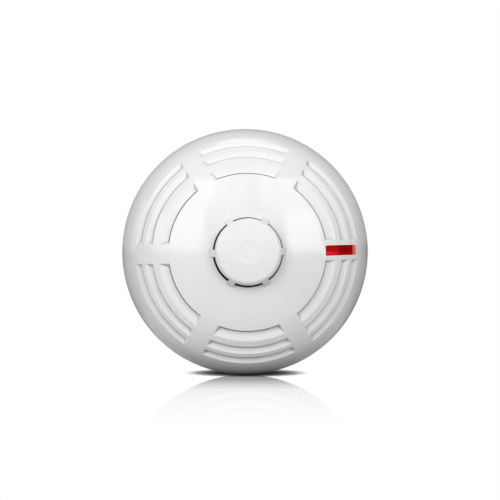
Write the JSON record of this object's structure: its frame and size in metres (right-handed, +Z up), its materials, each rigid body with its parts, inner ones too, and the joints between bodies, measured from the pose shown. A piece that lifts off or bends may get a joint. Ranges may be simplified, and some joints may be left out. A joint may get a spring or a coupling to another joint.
{
  "type": "heat detector",
  "caption": "Round white point heat detector with a domed louvred cover, raised sensor cap and red indicator bar, twist-locked onto a slotted mounting base.",
  "frame": {"origin": "centre of the base's flat mounting face, midway between the fixing slots", "axes": "the detector's axis lies along Y and its face looks towards -Y; the mounting face looks towards +Y; +Z is up as the detector stands on its rim; the indicator is at +X"},
  "size_m": [0.108, 0.0541, 0.108],
  "materials": {
    "cover_plastic": "glossy white moulded plastic",
    "base_plastic": "satin white moulded plastic",
    "red_lens": "clear red moulded plastic",
    "nickel_contacts": "nickel-plated spring strip",
    "zinc_screws": "bright zinc-plated steel",
    "board_laminate": "green solder resist over glass laminate",
    "black_plastic": "matte black moulded plastic",
    "black_resin": "matte black moulding resin",
    "tinned_wire": "tinned copper",
    "capacitor_cans": "bright aluminium can",
    "ceramic_tan": "tan ceramic"
  },
  "bodies": {
    "base": {"base_plate": "base_plastic", "terminal_strip_1": "nickel_contacts", "terminal_strip_2": "nickel_contacts", "terminal_strip_3": "nickel_contacts", "terminal_strip_4": "nickel_contacts", "wire_clamp_1": "nickel_contacts", "wire_clamp_2": "nickel_contacts", "wire_clamp_3": "nickel_contacts", "wire_clamp_4": "nickel_contacts", "terminal_screw_1": "zinc_screws", "terminal_screw_2": "zinc_screws", "terminal_screw_3": "zinc_screws", "terminal_screw_4": "zinc_screws"},
    "head": {"outer_cover": "cover_plastic", "sensor_cap": "cover_plastic", "light_pipe": "red_lens", "head_body": "base_plastic", "head_contact_1": "nickel_contacts", "head_contact_2": "nickel_contacts", "head_contact_3": "nickel_contacts", "head_contact_4": "nickel_contacts", "cover_screws": "zinc_screws", "circuit_board": "board_laminate", "sensor_tower": "black_plastic", "thermistor_bead": "black_resin", "thermistor_leads": "tinned_wire", "reference_thermistor": "black_resin", "indicator_led": "red_lens", "led_leads": "tinned_wire", "microcontroller": "black_resin", "microcontroller_legs": "tinned_wire", "bridge_rectifier": "black_resin", "surge_suppressor": "black_resin", "electrolytic_capacitors": "capacitor_cans", "chip_resistors": "black_resin", "chip_capacitors": "ceramic_tan", "transistors": "black_resin"}
  },
  "joints": [
    {"name": "head_twist", "type": "hinge", "parent": "base", "child": "head", "pos_m": [0, 0, 0], "axis": [0, -1, 0], "range_deg": [0, 24]}
  ]
}
